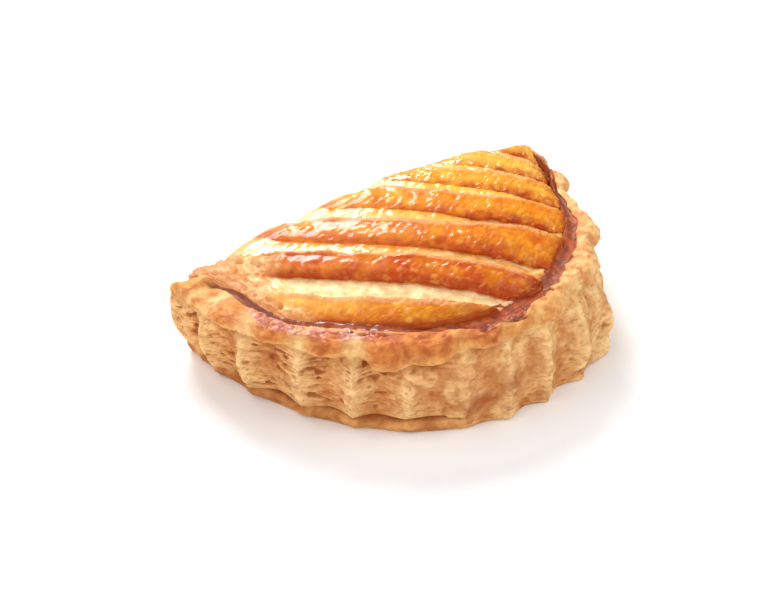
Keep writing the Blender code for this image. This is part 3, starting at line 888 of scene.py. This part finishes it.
topSettings = {
    "cutStarts": [-21.6, 7.5, 36, 66, 88, 112],
    "cutAngles": [89.5, 108, 130, 144, 157, 167],
    # how far each row bows towards the left, in mm, from the first row to the last
    "bows": [0, 3.0, 0.5, 4.5, 3.6, 2.5, 1.5, 0],
    "firstMiddle": 45,
    "inset": 8.8 * mm,
    "domeRise": 8 * mm,
    "flatness": 4.0,
    "flank": 0.6,
    # how far the cuts bend along the fold, towards the right
    "backBend": 8 * mm,
    "foldRound": 15 * mm,
    "tipRound": 5 * mm,
    "tipSpan": 11 * mm,
    "tipReach": 7 * mm,
    "foldRoundness": 2.2,
    "equator": 16 * mm,
    "tuck": 4 * mm,
    "pinch": 0.12,
    "cushion": 4.4 * mm,
    "cushionSpan": 0.28,
    "rowSteps": 262,
    "footSteps": 34,
    "firstRows": 44,
    "stripRows": 46,
    "lastRows": 22,
    # rows lie closer together at the edges of a strip and of its opening
    "rowSpacing": ([0, 0.16, 0.34, 0.56, 0.84, 1], [0, 0.10, 0.42, 0.54, 0.88, 1]),
    # how far along each strip the edge over its opening turns sharp
    "sharpFrom": [2.0, 0.16, 0.56, 0.54, 0.74, 2.0, 2.0],
    # how strong the relief of each strip is
    "depths": [1, 1, 0.95, 0.9, 0.8, 0.75, 0.6],
    # the first strip has no opening: heights in mm as it swells from the seam to its crest
    "firstSection": ([0, 0.25, 0.5, 0.75, 0.93, 0.98, 1], [0, -0.5, -0.9, -0.6, 0.15, 0.25, -0.3]),
    "stripTones": [
        tone(222, 122, 20),
        tone(196, 76, 0),
        tone(216, 108, 4),
        tone(234, 140, 16),
        tone(248, 176, 52),
        tone(253, 196, 90),
        tone(250, 192, 100),
    ],
    # how golden each strip is
    "golden": [0.6, 0.35, 0.5, 0.65, 0.75, 0.75, 0.75],
    # width of the pale opening of each strip, as a share of the strip, from the fold to the seam
    "openings": [
        [0.0, 0.0, 0.0, 0.0, 0.0],
        [0.66, 0.66, 0.62, 0.54, 0.46],
        [0.40, 0.44, 0.40, 0.40, 0.34],
        [0.34, 0.42, 0.42, 0.40, 0.28],
        [0.34, 0.42, 0.45, 0.38, 0.28],
        [0.30, 0.38, 0.38, 0.34, 0.22],
        [0.25, 0.25, 0.25, 0.25, 0.20],
    ],
    "tones": {
        "gold": tone(248, 180, 42),
        "deep": tone(176, 66, 6),
        "high": tone(196, 84, 20),
        "firstLow": tone(190, 88, 22),
        "firstHigh": tone(250, 198, 96),
        "nearSeam": tone(182, 78, 24),
        "toe": tone(158, 56, 20),
        "torn": tone(255, 226, 164),
        "tornShade": tone(222, 154, 78),
        "wet": tone(253, 216, 136),
        "wetShade": tone(244, 184, 80),
        "openingLight": tone(255, 236, 190),
        "notch": tone(168, 76, 22),
        "crest": tone(240, 170, 122),
        "behindCrest": tone(238, 180, 100),
        "crust": tone(252, 210, 150),
        "crustShade": tone(226, 156, 92),
        "crustPitShade": tone(200, 120, 70),
        "rim": tone(222, 146, 100),
        "back": tone(228, 156, 76),
        "flakeRim": tone(186, 92, 22),
        "flakeTop": tone(246, 184, 84),
        "speck": tone(130, 56, 20),
    },
}
# Section of a strip: count along it, place across it before the opening is set, and height above the
# crest in mm where the opening's edge is sharp and where it is smooth
stripSection = [
    (0.000, 0.000, -0.20, -0.20),
    (0.030, 0.015, -1.20, -1.00),
    (0.070, 0.05, -2.30, -1.80),
    (0.120, 0.12, -3.00, -2.40),
    (0.250, 0.26, -3.50, -2.70),
    (0.380, 0.42, -3.80, -2.50),
    (0.440, 0.495, -3.90, -2.20),
    (0.475, 0.500, -3.30, -2.00),
    (0.500, 0.490, -2.60, -1.80),
    (0.540, 0.515, -1.80, -1.60),
    (0.620, 0.60, -1.00, -1.05),
    (0.740, 0.74, -0.35, -0.45),
    (0.860, 0.88, -0.05, -0.05),
    (0.930, 0.955, 0.35, 0.35),
    (0.970, 0.990, 0.40, 0.40),
    (1.000, 1.000, -0.20, -0.20),
]


# The two ends of a row, counted in strips: on the fold and on the seam, both read off the cuts; the seam's
# angle over a start is the arc sine of its share of the depth
def rowEnds(place):
    s = topSettings
    tipInset = s["inset"] * shape["tipShare"]
    depth = shape["wallDepth"] - s["inset"]
    first = -depth / mm * math.sin(math.radians(s["firstMiddle"]))
    last = (shape["leftHalf"] + shape["rightHalf"] - 2 * tipInset) / mm
    starts = np.array([first, *s["cutStarts"], last]) * mm
    angles = np.radians([s["firstMiddle"], *s["cutAngles"], 180])
    count = np.arange(len(starts))
    start = np.interp(place, count, starts)
    angle = np.interp(place, count, angles)
    onSeam = np.arcsin(np.clip(-start / depth, 0, 1))
    wide = widening(onSeam)
    seamX, seamY = ovalPoint(onSeam, -tipInset - wide, -s["inset"] - wide)
    foldX = start + tipInset - shape["leftHalf"] + widening(0) * (1 - smoothStep(start / (25 * mm)))
    backX = np.where(start < 0, seamX, foldX)
    backY = np.where(start < 0, seamY, foldLine(foldX))
    wide = widening(angle)
    frontX, frontY = ovalPoint(angle, -tipInset - wide, -s["inset"] - wide)
    return np.stack([backX, backY], -1), np.stack([frontX, frontY], -1)


# How far out a point lies, 1 on the seam, with its angle: a rounded sum of its shares of both half lengths
def domeReach(x, y):
    s = topSettings
    front = np.maximum(0, -y) / (shape["wallDepth"] - s["inset"])
    across = x / (halfLength(x) - s["inset"] * shape["tipShare"])
    openTip = 0.08 * (1 - smoothStep(front / 0.2))
    fullness = np.where(x < 0, 2.0, shape["rightFullness"])
    reach = ((np.abs(across) * (1 - openTip)) ** fullness + front**fullness) ** (1 / fullness)
    angle = np.arctan2(front, -across)
    reach = reach / (1 - widening(angle) / (shape["wallDepth"] - s["inset"]))
    return reach, angle, across


# The top before the cuts: a crown that falls to the seam and rolls over the fold, both by rounded powers
def domeHeight(x, y):
    s = topSettings
    reach, angle, across = domeReach(x, y)
    tip = blend(shape["leftTipHeight"], shape["rightTipHeight"], smoothStep(0.5 + 2 * across))
    seam = 0.95 * (tip + (shape["lipHeight"] - tip) * np.abs(np.sin(angle)) ** shape["lipCurve"])
    crown = seam + s["domeRise"] * np.maximum(0, 1 - np.minimum(reach, 1) ** s["flatness"]) ** s["flank"]
    reachBack = blend(s["tipRound"], s["foldRound"], 1 - np.minimum(1, np.abs(across)) ** 4)
    atTip = 1 - smoothStep((x + shape["leftHalf"] - s["tipSpan"]) / s["tipSpan"])
    edge = blend(s["equator"], seam - 1 * mm, atTip)
    reachBack = reachBack + s["tipReach"] * atTip
    inwards = np.clip((foldLine(x) - y) / reachBack, 0, 1)
    roll = (1 - (1 - inwards) ** s["foldRoundness"]) ** (1 / s["foldRoundness"])
    return edge + (crown - edge) * roll


# The rows of the grid: how far each lies across its strip, with the strip's number; and the steps along
# them, an even line blended with half a cosine wave
def topRows():
    s = topSettings
    strips = len(s["cutStarts"])
    counts, numbers = [], []
    for strip in range(strips + 1):
        rows = s["firstRows"] if strip == 0 else s["lastRows"] if strip == strips else s["stripRows"]
        start = 0.10 if strip == 0 else 0.0
        end = 0.93 if strip == strips else 1.0
        even = np.linspace(0, 1, rows, endpoint=strip == strips)
        if strip > 0:
            even = np.interp(even, *s["rowSpacing"])
        counts.append(start + (end - start) * even)
        numbers.append(np.full(rows, strip))
    even = np.linspace(0, 1, s["rowSteps"])
    along = blend(even, 0.5 - 0.5 * np.cos(math.pi * even), 0.7)
    return np.concatenate(counts)[:, None], np.concatenate(numbers)[:, None], along[None, :]


# Across a strip: the width of its opening, how sharp the opening's edge is, the place and the relief of
# each point, blended from the sharp section to the smooth one, with ragged noise on the edge and the crest
def stripShape(count, number, along):
    s = topSettings
    section = np.array(stripSection)
    widths = np.array(s["openings"])
    stops = np.linspace(0, 1, widths.shape[1])
    opening = np.stack([np.interp(along[0], stops, row) for row in widths])[number[:, 0]]
    sharp = np.stack([smoothStep((along[0] - start) / 0.16) for start in s["sharpFrom"]])[number[:, 0]]
    curves = (np.interp(count, section[:, 0], section[:, i]) for i in (1, 2, 3))
    sharpPlace, sharpHeight, smoothHeight = curves
    plain = blend(np.interp(count, [0, 0.44, 0.56, 1], [0, 0.47, 0.54, 1]), sharpPlace, sharp)
    across = np.where(plain < 0.5, plain / 0.5 * opening, opening + (plain - 0.5) / 0.5 * (1 - opening))
    across = np.where(number == 0, count, across)
    relief = blend(smoothHeight * mm, sharpHeight * mm, sharp)
    relief = np.where(number == 0, np.interp(count, *s["firstSection"]) * mm, relief)
    tearing = trio(along * 60 + number * 9, number * 3.7 + count * 0.6)
    ragged = noise(tearing, 201) * 0.018 + noise(tearing * (0.35, 1, 1), 202) * 0.02
    across = across + ragged * bell(count, 0.49, 0.09) * (number > 0) * sharp
    relief = relief * np.array(s["depths"])[number]
    relief = relief + bell(count, 0.95, 0.06) * 0.45 * mm * noise(trio(along * 16, number * 5.1), 203)
    return opening, sharp, across, relief


# The top itself: straight rows from the fold to the seam whose places wander by noise, bent along the fold
# and bowed on their way, with the strips' relief on the dome's height
def topSurface(count, number, along):
    s = topSettings
    strips = len(s["cutStarts"])
    opening, sharp, across, relief = stripShape(count, number, along)
    wander = []
    for step, inside in ((0, number > 0), (1, number < strips)):
        coarse = noise(trio(along * 6, number + step), 204) * 0.05
        fine = noise(trio(along * 14, number + step), 205) * 0.02
        wander.append((coarse + fine) * inside * smoothStep(along / 0.3))
    place = np.clip(number + across + blend(*wander, np.clip(across, 0, 1)), 0.05, strips + 0.95)

    back, seam = rowEnds(place)
    plan = back + (seam - back) * along[..., None]
    aside = (seam - back)[..., ::-1] * (-1, 1)
    aside = aside / np.maximum(np.linalg.norm(aside, axis=-1, keepdims=True), 1e-9)
    ahead = aside[..., ::-1] * (1, -1)
    nose = (number > 0) * (1.3 * bell(count, 0.85, 0.14) - 1.1 * bell(count, 0.25, 0.2))
    nose = nose + 0.5 * noise(trio(number + count * 4, 0), 206)
    plan = plan + ahead * (nose * mm * rising(along, 0.9, 0.1))[..., None]
    bend = s["backBend"] * (1 - smoothStep(along / 0.2))
    bend = bend * rising(place, 1.7, 0.9) * falling(place, 5.2, 1.4)
    bent = plan[..., 0] + bend
    lineShift = foldLine(bent) - foldLine(plan[..., 0])
    plan = np.stack([bent, plan[..., 1] + lineShift], -1)
    bow = np.interp(place, np.arange(strips + 2), s["bows"]) * mm
    plan = plan - aside * (bow * 4 * along * (1 - along))[..., None]

    stepped = smoothStep(along / s["cushionSpan"])
    depth = 0.4 + 0.6 * smoothStep((1 - along) / 0.06)
    cushion = -s["cushion"] * rising(place, 1.3, 0.5) * np.abs(2 * (place % 1) - 1) ** 3
    cushion = np.where(place > 1, cushion, relief * smoothStep(along / 0.1))
    notch = -0.5 * mm * bell(count, 0.02, 0.05) * (number > 1)
    height = domeHeight(plan[..., 0], plan[..., 1])
    height = height + depth * blend(cushion + notch, relief, stepped)
    return np.concatenate([plan, height[..., None]], -1), opening, sharp


# The whole grid: the folded back, drawn in by a square below its widest height, then the top, then two
# steps hidden behind the seam
def topShape():
    s = topSettings
    count, number, along = topRows()
    points, opening, sharp = topSurface(count, number, along)
    rows, columns = points.shape[:2]
    rise = np.linspace(0, 1, s["footSteps"], endpoint=False)[None, :, None]
    edge, seamEdge = points[:, :1], points[:, -1:]
    pinch = s["pinch"] * (1 - np.clip(edge[..., 1:2] / shape["foldBulge"], 0, 1))
    forward = (-30 * mm - edge[..., 1:2]) * pinch - s["tuck"] * (1 - pinch / s["pinch"])
    inwards = np.concatenate([-edge[..., :1] * pinch, forward], -1)
    foot = np.concatenate([edge[..., :2] + inwards * (1 - rise) ** 2, edge[..., 2:] * rise], -1)
    points = np.concatenate([foot, points, seamEdge * (1, 1, 0.55), seamEdge * (0.9, 0.9, 0.02)], 1)

    # Values known on the top only, carried on down the back and behind the seam: each end is repeated
    def carried(values):
        first = np.repeat(values[:, :1], s["footSteps"], axis=1)
        return np.concatenate([first, values, np.repeat(values[:, -1:], 2, axis=1)], 1)

    onTop = np.zeros(points.shape[:2])
    onTop[:, s["footSteps"]:s["footSteps"] + columns] = 1
    along = carried(np.repeat(along, rows, axis=0))
    reach = domeReach(points[..., 0], points[..., 1])[0]
    return SimpleNamespace(
        points=points,
        place=points / mm,
        count=count,
        number=number,
        along=along,
        opening=carried(opening),
        sharp=carried(sharp),
        onTop=onTop,
        onBack=1 - smoothStep(along / 0.12),
        toLeft=falling(along, 0.12, 0.34),
        toRight=rising(along, 0.3, 0.5),
        toSeam=(1 - reach) * (shape["wallDepth"] - s["inset"]) / mm,
        cut=number > 0,
    )


# Relief of the top: torn fibres in the openings, wrinkles, blisters and flakes on the glazed skin, and a
# rough dry crust at the left tip, as lengths outwards
def topRelief(g):
    count, number, along, place, sharp, onTop = g.count, g.number, g.along, g.place, g.sharp, g.onTop
    fromTip = np.hypot(place[..., 0] + shape["leftHalf"] / mm, place[..., 1])
    crustReach = 26 + 5 * noise(place / 7, 216) + 16 * (number == 0) * falling(count, 0.6, 0.3)
    crust = (1 - smoothStep((fromTip - crustReach) / 14)) * (number < 2) * (1 - 0.15 * g.onBack)
    ending, fading = blend(0.50, 0.48, sharp), blend(0.26, 0.03, sharp)
    inOpening = rising(count, 0.02, 0.05) * smoothStep((ending - count) / fading) * g.cut
    inOpening = inOpening * rising(g.opening, 0.1, 0.2) * (1 - g.onBack) * (1 - crust)
    onSkin = (1 - inOpening * sharp) * onTop
    lowFace = falling(count, 0.5, 0.32) * (count > 0.44) * g.cut

    fibres = fractal(trio(along * 30, number * 4.3 + count * 14), 3, 211)
    crumbs = fractal(place / 1.6, 2, 212)
    wrinkle = fractal(place / 2.4, 3, 213)
    swell = fractal(place / 9, 2, 214)
    creases = 1 - np.abs(noise(place / (1.9, 1.5, 1.9), 217)) * 2
    streaks = fractal(trio(along * 85, number * 5.7 + count * 1.5), 2, 218)
    nearest, _, chanceOf, _ = cells(place / 3.1, 215)
    blister = smoothStep((0.42 - nearest) / 0.3) * (chanceOf > 0.62)
    nearest, second, _, _ = cells(place / 2.3, 220)
    crustRough = fractal(place / 2.6, 3, 219) + 0.7 * crumbs + 0.6 * smoothStep(second - nearest)
    crustRough = crustRough + 0.5 * (1 - 2 * np.abs(noise(place / 1.9, 225)))
    nearest, second, flakeNumber, _ = cells(place / (2.4, 2.4, 1.6) + 0.3 * trio(wrinkle, crumbs), 226)
    flakeEdge = second - nearest

    wetZone = np.clip(inOpening * (1 - sharp) + 0.35 * falling(along, 0.35, 0.2), 0, 1) * onTop
    calm = 1 - 0.75 * bell(count, 0.89, 0.05) * g.cut
    push = inOpening * sharp * mm * (0.55 * fibres + 0.35 * crumbs)
    push = push + onSkin * mm * calm * (0.24 * wrinkle + 0.40 * swell + 0.30 * blister)
    push = push + wetZone * mm * 0.22 * creases * (1 - crust)
    push = push + lowFace * sharp * mm * 0.22 * streaks * onTop
    push = push + crust * mm * onTop * crustRough * rising(g.toSeam, 0.3, 2.5)
    push = push + onSkin * g.toRight * (1 - crust) * mm * 0.25 * smoothStep(flakeEdge / 0.3)
    return SimpleNamespace(
        push=push,
        crust=crust,
        inOpening=inOpening,
        onSkin=onSkin,
        lowFace=lowFace,
        fibres=fibres,
        crustRough=crustRough,
        flakeEdge=flakeEdge,
        flakeNumber=flakeNumber,
    )


# Colours of the glazed faces: each strip has its own amber, darker at its lower edge and along the seam,
# and goldener above
def paintFaces(g, r, mottled, nearSeam):
    s = topSettings
    t = s["tones"]
    count, number, toSeam, toRight = g.count, g.number, g.toSeam, g.toRight
    golden = smoothStep(0.45 + 1.2 * fractal(g.place / 5, 3, 221)) + 0.4 * g.toLeft * (number > 1)
    goldenShare = np.array(s["golden"])[number] + 0.08 * toRight * (number < 4)
    deepShare = r.lowFace * (0.6 + 0.3 * toRight + 0.3 * (number == 1)) * (0.5 + 0.75 * mottled)
    highFace = bell(count, 0.84, 0.07) * g.cut * mottled
    firstLow = (number == 0) * falling(count, 0.1, 0.5) * (0.5 + 0.6 * mottled)
    firstHigh = (number == 0) * rising(count, 0.6, 0.3) * (1 - toRight)
    toe = falling(toSeam, 0.6, 1.6) * g.onTop * (1 - r.crust)
    colours = np.array(s["stripTones"])[number]
    colours = painted(
        colours,
        (t["gold"], np.clip(goldenShare * golden, 0, 1)),
        (t["deep"], np.clip(deepShare, 0, 1)),
        (t["high"], 0.45 * highFace),
        (t["firstLow"], np.clip(0.6 * firstLow, 0, 1)),
        (t["firstHigh"], 0.6 * firstHigh),
        (t["nearSeam"], 0.7 * nearSeam * (0.5 + 0.5 * mottled)),
    )
    return tint(colours, t["toe"], 0.8 * toe)


# Colours of the openings: torn and pale where the edge is sharp, wet and golden where it is smooth, then
# painted light: a painted highlight whitening the openings at the left, and the second strip's opening
# lightened against the shade of its hollow
def paintOpenings(g, r, colours):
    t = topSettings["tones"]
    torn = tint(t["torn"], t["tornShade"], smoothStep(0.45 + 1.0 * r.fibres + 0.15 * g.toRight))
    wet = tint(t["wet"], t["wetShade"], smoothStep(0.5 + fractal(g.place / 4, 3, 223)))
    paleness = np.where(g.number == 1, 0.95, 0.7 + 0.25 * g.sharp)
    paleness = paleness * (0.25 + 0.75 * rising(g.toSeam, 0.8, 2.5))
    # Painted light: the openings at the left whitened as a painted highlight, and the second strip's opening
    # lightened against the shade of its hollow
    openingLightShare = r.inOpening * np.clip(0.6 * g.toLeft * (g.number > 1) + 0.45 * (g.number == 1), 0, 1)
    colours = tint(colours, tint(wet, torn, g.sharp), paleness * r.inOpening)
    return tint(colours, t["openingLight"], openingLightShare)


# Colours of the top, and its gloss: faces and openings, then the lines at their edges, with a painted shadow
# under the lower edge of each face, the dry crust with painted shade in its pits, the back, the flakes and
# the specks
def paintTop(g, r):
    t = topSettings["tones"]
    count, place, onBack = g.count, g.place, g.onBack
    soft = 1 - r.crust
    mottled = smoothStep(0.55 + 1.0 * fractal(place / 3.2, 3, 222))
    nearSeam = falling(g.toSeam, 1, 5) * g.onTop * soft
    colours = paintOpenings(g, r, paintFaces(g, r, mottled, nearSeam))
    # Painted shadow: a thin dark line under the lower edge of each face, where its skin hangs over the
    # opening
    notchShadow = bell(count, 0.455, 0.022) * g.cut * (1 - onBack) * g.sharp * soft
    crestLine = rising(count, 0.895, 0.03) * falling(count, 0.985, 0.015)
    crestLine = crestLine * (1 - 0.5 * onBack) * (g.number < len(topSettings["cutStarts"])) * soft
    crestLine = crestLine * rising(g.toSeam, 1.5, 6)
    behindCrest = bell(count, 0.03, 0.03) * g.cut
    crust = tint(t["crust"], t["crustShade"], smoothStep(0.5 + 1.1 * fractal(place / 3, 3, 224)))
    # Painted shade in the pits of the crust, where its relief sinks
    crust = tint(crust, t["crustPitShade"], np.clip(-0.6 * r.crustRough, 0, 0.8))
    flaked = r.onSkin * soft * (1 - onBack)
    flakeRim = (1 - smoothStep(r.flakeEdge / 0.16)) * flaked * (0.25 + 0.75 * g.toRight)
    flakeRim = flakeRim * smoothStep(0.4 + 1.4 * fractal(place / 7, 2, 227))
    flakeTop = rising(r.flakeNumber, 0.55, 0.4) * rising(r.flakeEdge, 0.1, 0.2)
    flakeTop = flakeTop * flaked * (0.2 + 0.8 * g.toRight)
    specks = smoothStep((noise(place / 1.3, 231) - 0.62) / 0.1) * r.onSkin
    specks = specks * smoothStep(fractal(place / 12, 2, 232) + 0.2)
    colours = painted(
        colours,
        # Painted shadow under the lower edge of each face
        (t["notch"], 0.7 * notchShadow * (0.5 + 0.5 * mottled)),
        (t["crest"], 0.85 * crestLine * (1 - 0.35 * mottled)),
        (t["behindCrest"], 0.6 * behindCrest),
        (crust, 0.92 * r.crust),
        (t["rim"], 0.6 * r.crust * bell(g.along, 0.05, 0.07)),
        (t["back"], 0.5 * onBack * soft),
        (t["flakeRim"], 0.4 * flakeRim),
        (t["flakeTop"], 0.34 * flakeTop),
        (t["speck"], 0.5 * specks),
    )
    gloss = g.onTop * (1 - 0.85 * r.inOpening * g.sharp) * (1 - 0.6 * onBack) * (1 - 0.7 * r.crust)
    gloss = gloss * (1 - 0.6 * crestLine) * (1 - 0.8 * nearSeam) * (1 - 0.5 * r.lowFace * (g.number < 4))
    return colours, gloss


# The top as one solid: its grid pushed out by its relief, and never below the table
def buildTop(material):
    g = topShape()
    relief = topRelief(g)
    colours, gloss = paintTop(g, relief)
    points = pushed(g.points, relief.push, (0, -30 * mm, 10 * mm))
    points[..., 2] = np.maximum(points[..., 2], 0.2 * mm)
    closedMesh("topCrust", points, colours, gloss, material)


# Studio

studioSettings = {
    "azimuth": -35,
    "elevation": 35,
    "distance": 0.6,
    "focal": 85.56,
    "target": (-12.5 * mm, -30 * mm, 15 * mm),
    "floorReach": 4.0,
    "floorTone": 0.93,
    "floorRoughness": 0.9,
    "floorShine": 0.1,
    "ambient": 0.28,
    "lightTarget": (0, 0, 20 * mm),
    # name, azimuth, elevation, distance, size and power
    "lights": [
        ("windowLight", 168, 40, 1.1, 0.5, 12),
        ("frontFill", -40, 30, 1.4, 1.4, 7),
        ("leftLight", -105, 50, 1.2, 1.0, 6),
        ("rightLight", 50, 45, 1.4, 1.0, 8),
    ],
}


# A new item of the scene, on a sphere round the target and facing it: sines and cosines of the two angles
def placeAround(name, data, azimuth, elevation, distance, target):
    item = bpy.data.objects.new(name, data)
    bpy.context.scene.collection.objects.link(item)
    a, e = math.radians(azimuth), math.radians(elevation)
    item.location = (
        target[0] + distance * math.sin(a) * math.cos(e),
        target[1] - distance * math.cos(a) * math.cos(e),
        target[2] + distance * math.sin(e),
    )
    item.rotation_euler = (math.pi / 2 - e, 0, a)
    return item


# A square pale floor under the pastry, spanned by a reach on each side
def buildFloor():
    s = studioSettings
    mesh = bpy.data.meshes.new("floor")
    corners = [(x * s["floorReach"], y * s["floorReach"], 0) for x, y in ((-1, -1), (1, -1), (1, 1), (-1, 1))]
    mesh.from_pydata(corners, [], [(0, 1, 2, 3)])
    floor = bpy.data.objects.new("floor", mesh)
    bpy.context.scene.collection.objects.link(floor)
    material = bpy.data.materials.new("paleFloor")
    material.use_nodes = True
    shader = material.node_tree.nodes["Principled BSDF"]
    shader.inputs["Base Color"].default_value = (s["floorTone"],) * 3 + (1,)
    shader.inputs["Roughness"].default_value = s["floorRoughness"]
    shader.inputs["Specular IOR Level"].default_value = s["floorShine"]
    mesh.materials.append(material)
    print("floor ready")


# Even light from all round, four square lights and the camera, each at its angles and distance
def buildStudio():
    s = studioSettings
    world = bpy.data.worlds.new("studio")
    bpy.context.scene.world = world
    world.use_nodes = True
    world.node_tree.nodes["Background"].inputs["Color"].default_value = (1, 1, 1, 1)
    world.node_tree.nodes["Background"].inputs["Strength"].default_value = s["ambient"]
    for name, azimuth, elevation, distance, size, power in s["lights"]:
        light = bpy.data.lights.new(name, "AREA")
        light.size = size
        light.energy = power
        placeAround(name, light, azimuth, elevation, distance, s["lightTarget"])
    data = bpy.data.cameras.new("camera")
    data.lens = s["focal"]
    data.sensor_width = 36
    target = (s["target"][0] + middleX, s["target"][1] + tipLine, s["target"][2])
    camera = placeAround("camera", data, s["azimuth"], s["elevation"], s["distance"], target)
    bpy.context.scene.camera = camera
    bpy.context.scene.view_settings.view_transform = "Standard"
    print("studio ready")


grain = fineGrainGroup()
sideMaterial = crustMaterial("bakedSide", grain, {
    "grainSize": 1.0,
    "grainStretch": 1.6,
    "darkGrain": (0.84, 0.71, 0.57),
    "lightGrain": (1.08, 1.10, 1.12),
    "dryRoughness": 0.78,
    "wetRoughness": 0.28,
    "coat": 0.5,
    "coatRoughness": 0.15,
    "glow": 0.35,
    "glowDepth": 2.0 * mm,
    "shine": 0.3,
    "relief": 0.55,
    "reliefDepth": 0.7 * mm,
    "glazedRelief": 0.4,
})
topMaterial = crustMaterial("glazedTop", grain, {
    "grainSize": 0.8,
    "grainStretch": 1.0,
    "darkGrain": (0.86, 0.74, 0.60),
    "lightGrain": (1.05, 1.08, 1.1),
    "dryRoughness": 0.6,
    "wetRoughness": 0.30,
    "coat": 0.55,
    "coatRoughness": 0.09,
    "glow": 0.12,
    "glowDepth": 1.5 * mm,
    "shine": 0.12,
    "relief": 0.9,
    "reliefDepth": 0.6 * mm,
    "glazedRelief": 0.25,
})
print("materials ready")
buildSide(sideMaterial)
buildTop(topMaterial)
buildFloor()
buildStudio()
